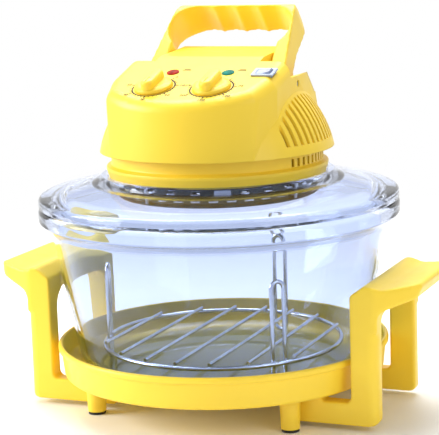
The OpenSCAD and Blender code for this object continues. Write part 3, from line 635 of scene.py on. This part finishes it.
class OVEN_OT_cover(bpy.types.Operator):
    """Head cover: dome, console with rounded edges, arm channels and louvres"""

    bl_idname = "oven.cover"
    bl_label = "Head cover"

    def execute(self, context):
        head = Head(context.scene.oven_head)
        skins = []
        for t in (0, head.s.wall):
            skin = as_object("skin", head.console(t))
            combine(skin, head.dome(t), "UNION")
            combine(skin, head.inlet(t), "UNION")
            for channel in head.channels(t):
                combine(skin, channel, "DIFFERENCE")
            skins.append(skin)
        outer, inner = skins
        bm = bmesh.new()
        bm.from_mesh(inner.data)
        bpy.data.objects.remove(inner)
        combine(outer, bm, "DIFFERENCE")
        for part in head.cutters():
            combine(outer, part, "DIFFERENCE")
        outer.name = "cover_moulding"
        even = outer.modifiers.new("even", "WEIGHTED_NORMAL")
        even.keep_sharp = True
        finish_piece(outer, "lid", "yellow_plastic", ["head_cover"], 32)
        return {"FINISHED"}


class OVEN_OT_carrying(bpy.types.Operator):
    """Carrying handle with softened edges"""

    bl_idname = "oven.carrying"
    bl_label = "Carrying handle"

    def execute(self, context):
        made = softened("carry_moulding", "carrying_handle", 1.1, 8)
        finish_piece(made, "carry_handle", "yellow_plastic", ["carrying_handle"], 180)
        return {"FINISHED"}


def numeral(text, size, matrix):
    """A short number as a thin raised mark."""
    curve = bpy.data.curves.new("numeral", "FONT")
    curve.body, curve.size, curve.extrude = text, size * MM, 0.04 * MM
    curve.align_x, curve.align_y = "CENTER", "CENTER"
    made = bpy.data.objects.new("numeral", curve)
    mesh = bpy.data.meshes.new_from_object(made)
    bm = bmesh.new()
    bm.from_mesh(mesh)
    bpy.data.objects.remove(made)
    bpy.data.curves.remove(curve)
    bpy.data.meshes.remove(mesh)
    return moved(bm, matrix)


# The guard's rows of slits: count, width, foot below the top, turn in degrees
SLIT_ROWS = ((26, 8, 7, 3), (36, 9, 13.4, 0))
SLIT_H = 2.6
# The slots in its floor: count, inner and outer end as shares of the radius, width
FLOOR_SLOTS = ((30, 0.66, 0.9, 6), (20, 0.4, 0.6, 6), (10, 0.14, 0.34, 5))


class OVEN_OT_guard(bpy.types.Operator):
    """Lamp guard: a drum with a rolled foot, two rows of slits and a slotted floor"""

    bl_idname = "oven.guard"
    bl_label = "Lamp guard"

    def execute(self, context):
        low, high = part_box("lamp_guard")
        r, z, top = high.x / MM, low.z / MM, high.z / MM
        wall = rounded([(0, z + 0.2, 0), (r - 0.1, z + 0.2, 1.4), (r - 0.1, z + 3, 1.2), (r - 1.6, z + 3.6, 0.8),
                        (r - 1.6, top, 0), (r - 2.6, top, 0), (r - 2.6, z + 1.2, 0.6), (0, z + 1.2, 0)], 5)
        made = as_object("guard_drum", revolve(wall, 192, closed=False))
        slits, lips = [], []
        for count, width, below, turn in SLIT_ROWS:
            base = top - z - below
            for i in range(count):
                to = Matrix.Rotation(2 * math.pi * i / count + math.radians(turn), 4, "Z")
                slits.append(moved(block((r - 8, -width / 2, z + base), (r + 5, width / 2, z + base + SLIT_H)), to))
                lip = block((r - 2.1, -width / 2 + 0.6, z + base - 0.1), (r - 0.5, width / 2 - 0.6, z + base + 1.5))
                bmesh.ops.bevel(lip, geom=lip.edges, offset=0.3 * MM, segments=2, profile=0.5, affect="EDGES",
                                material=-1)
                lips.append(moved(lip, to))
        for count, start, end, width in FLOOR_SLOTS:
            for i in range(count):
                slot = block((r * start, -width / 2, z - 3), (r * end, width / 2, z + 3))
                slits.append(moved(slot, Matrix.Rotation(2 * math.pi * i / count, 4, "Z")))
        combine(made, joined(slits), "DIFFERENCE")
        finish_piece(made, "lid", "guard_steel", ["lamp_guard"], 40)
        finish_piece(as_object("guard_lips", joined(lips)), "lid", "sheet_aluminium", angle=40)
        return {"FINISHED"}


# Print on the panel, in mm: its faces above the panel, the dials' ring, ticks (outer end, half width) and numbers
INK = (0.03, 0.1)
RING = (18.1, 19.3)
TICK_IN, LONG_TICK, SHORT_TICK = 19, (22.4, 0.5), (20.8, 0.3)
NUMBER_R, NUMBER_SIZE = 25.4, 4.8
# The timer counts minutes and the thermostat degrees, with its off position unmarked
SCALES = {-1: ("timer", ("0", "10", "20", "30", "40", "50", "60")),
          1: ("thermostat", ("", "75", "100", "150", "200", "225", "250"))}
# The red and the green lens, from the middle
LENS_X = (-22, 30)
SWITCH_X = 63.5


class OVEN_OT_knobs(bpy.types.Operator):
    """Knobs with a skirt and a grip bar, and the printed scales round them"""

    bl_idname = "oven.knobs"
    bl_label = "Knobs and scales"

    def execute(self, context):
        head = Head(context.scene.oven_head)
        s = head.s
        low, high = INK
        for sign, (name, marks) in SCALES.items():
            place = head.on_panel(sign * s.dial_x, s.dial_y)
            r, h = s.knob_r, s.knob_h
            skirt = rounded([(0, 0.3, 0), (r, 0.3, 0.5), (r - 0.7, 3, 1.2), (r - 4, 4.6, 3), (0, 4.6, 0)], 6)
            obj = as_object(f"{name}_grip", revolve(skirt, 120, closed=False))
            bar = rounded([(-6, 1.2 - r, 5.5), (6, 1.2 - r, 5.5), (6, r - 1.2, 5.5), (-6, r - 1.2, 5.5)], 8)
            bar = slab(bar, 3, h)
            upper = [e for e in bar.edges if all(v.co.z > (h - 0.01) * MM for v in e.verts)]
            bmesh.ops.bevel(bar, geom=upper, offset=3.4 * MM, segments=6, profile=0.5, affect="EDGES", material=-1)
            combine(obj, settle(bar), "UNION")
            combine(obj, block((-0.6, 2.5 - r, h - 0.5), (0.6, -4, h + 2)), "DIFFERENCE")
            combine(obj, rod(3.02, -1, h - 3.2), "DIFFERENCE")
            obj.data.transform(place)
            finish_piece(obj, f"{name}_dial", "yellow_plastic", [f"{name}_knob"], 40)

            ink = [moved(revolve([(RING[0], low), (RING[1], low), (RING[1], high), (RING[0], high)], 96), place)]
            for i in range(0, 61, 2):
                long = i % 10 == 0
                turn = math.radians(150 - i * 5)
                end, wide = LONG_TICK if long else SHORT_TICK
                tick = block((TICK_IN, -wide, low), (end, wide, high))
                ink.append(moved(tick, place @ Matrix.Rotation(turn - math.pi / 2, 4, "Z")))
                if long and marks[i // 10]:
                    at = Matrix.Translation((NUMBER_R * MM * math.cos(turn - math.pi / 2),
                                             NUMBER_R * MM * math.sin(turn - math.pi / 2), 0.06 * MM))
                    ink.append(numeral(marks[i // 10], NUMBER_SIZE, place @ at))
            finish_piece(as_object(f"{name}_scale", joined(ink)), "lid", "black_plastic", finish="panel_ink")
        dashes = []
        for x in LENS_X:
            for dx, dy, w in ((7, 4.6, 8), (8, 6.8, 6)):
                dashes.append(moved(block((dx, dy, low), (dx + w, dy + 1.1, high)), head.on_panel(x, s.lens_y)))
        finish_piece(as_object("lens_marks", joined(dashes)), "lid", "black_plastic", finish="panel_ink")
        return {"FINISHED"}


def area_light(name, place, aim, size, power):
    """A soft light that faces a point."""
    light = bpy.data.lights.new(name, "AREA")
    light.shape = "RECTANGLE"
    light.size, light.size_y = size
    light.energy = power
    made = bpy.data.objects.new(name, light)
    made.location = place
    made.rotation_euler = (Vector(aim) - Vector(place)).to_track_quat("-Z", "Y").to_euler()
    bpy.context.scene.collection.objects.link(made)


# Name, place, point it faces, size in m and power in W
LIGHTS = (
    ("Key", (-1.9, -0.9, 0.9), (0, 0, 0.2), (1.2, 1.2), 50),
    ("Fill", (1.7, -0.8, 0.9), (0, 0, 0.2), (1.0, 1.2), 8),
    ("Top", (-0.3, 0.5, 1.7), (0, 0, 0.25), (1.4, 1.2), 40),
)
# Strength of the white world, for soft light and for what is seen, shone through or mirrored
WORLD_SOFT, WORLD_SEEN = 0.45, 1.0
# Where the floor starts to fade and where it is gone, from the middle, in m
FADE = (0.45, 1.1)


class OVEN_OT_stage(bpy.types.Operator):
    """Floor, world, soft lights and the camera at the photograph's angle"""

    bl_idname = "oven.stage"
    bl_label = "Stage"

    def execute(self, context):
        scene, s = context.scene, context.scene.oven_stage
        bm = bmesh.new()
        bmesh.ops.create_grid(bm, x_segments=1, y_segments=1, size=6)
        mesh = bpy.data.meshes.new("floor")
        bm.to_mesh(mesh)
        bm.free()
        floor = bpy.data.objects.new("floor", mesh)
        scene.collection.objects.link(floor)
        f = Finish("Pale floor")
        f.set(Roughness=0.6, Base_Color=(0.93, 0.93, 0.93, 1.0))
        f.fade_out(*FADE)
        floor.data.materials.append(f.material)

        world = bpy.data.worlds.new("Studio")
        scene.world = world
        world.use_nodes = True
        tree = world.node_tree
        background = tree.nodes["Background"]
        rays = tree.nodes.new("ShaderNodeLightPath")
        seen = tree.nodes.new("ShaderNodeMath")
        seen.operation = "MAXIMUM"
        tree.links.new(rays.outputs["Is Camera Ray"], seen.inputs[0])
        tree.links.new(rays.outputs["Is Transmission Ray"], seen.inputs[1])
        shiny = tree.nodes.new("ShaderNodeMath")
        shiny.operation = "MAXIMUM"
        tree.links.new(seen.outputs["Value"], shiny.inputs[0])
        tree.links.new(rays.outputs["Is Glossy Ray"], shiny.inputs[1])
        level = tree.nodes.new("ShaderNodeMapRange")
        level.inputs["To Min"].default_value = WORLD_SOFT
        level.inputs["To Max"].default_value = WORLD_SEEN
        tree.links.new(shiny.outputs["Value"], level.inputs["Value"])
        tree.links.new(level.outputs["Result"], background.inputs["Strength"])
        background.inputs["Color"].default_value = (1, 1, 1, 1)

        for light in LIGHTS:
            area_light(*light)

        camera = bpy.data.cameras.new("Camera")
        camera.lens, camera.sensor_width = s.lens, 36
        camera.clip_start, camera.clip_end = 0.05, 30
        made = bpy.data.objects.new("Camera", camera)
        scene.collection.objects.link(made)
        place = Vector((s.distance * math.sin(s.azimuth), -s.distance * math.cos(s.azimuth), s.height))
        made.matrix_world = (
            Matrix.Translation(place) @ Matrix.Rotation(s.azimuth, 4, "Z")
            @ Matrix.Rotation(math.pi / 2 - s.pitch, 4, "X") @ Matrix.Rotation(s.roll, 4, "Z"))
        scene.camera = made
        scene.view_settings.view_transform = "Standard"
        return {"FINISHED"}


class OVEN_PT_panel(bpy.types.Panel):
    """The steps that dress the oven, in order"""

    bl_idname = "OVEN_PT_panel"
    bl_label = "Halogen oven"
    bl_space_type = "VIEW_3D"
    bl_region_type = "UI"
    bl_category = "Oven"

    def draw(self, context):
        for step in STEPS:
            self.layout.operator(step)
        for group in (context.scene.oven_colours, context.scene.oven_head, context.scene.oven_stage):
            for name in group.__annotations__:
                self.layout.prop(group, name)


STEPS = ["oven.finishes", "oven.glass", "oven.tray", "oven.cover", "oven.carrying", "oven.guard", "oven.knobs",
         "oven.stage"]
CLASSES = [OvenColours, OvenHead, OvenStage, OVEN_OT_finishes, OVEN_OT_glass, OVEN_OT_tray, OVEN_OT_cover,
           OVEN_OT_carrying, OVEN_OT_guard, OVEN_OT_knobs, OVEN_OT_stage, OVEN_PT_panel]


def register():
    for made in CLASSES:
        bpy.utils.register_class(made)
    bpy.types.Scene.oven_colours = bpy.props.PointerProperty(type=OvenColours)
    bpy.types.Scene.oven_head = bpy.props.PointerProperty(type=OvenHead)
    bpy.types.Scene.oven_stage = bpy.props.PointerProperty(type=OvenStage)


def unregister():
    del bpy.types.Scene.oven_stage
    del bpy.types.Scene.oven_head
    del bpy.types.Scene.oven_colours
    for made in reversed(CLASSES):
        bpy.utils.unregister_class(made)


def main():
    register()
    for step in STEPS:
        group, name = step.split(".")
        getattr(getattr(bpy.ops, group), name)()


if __name__ == "__main__":
    main()
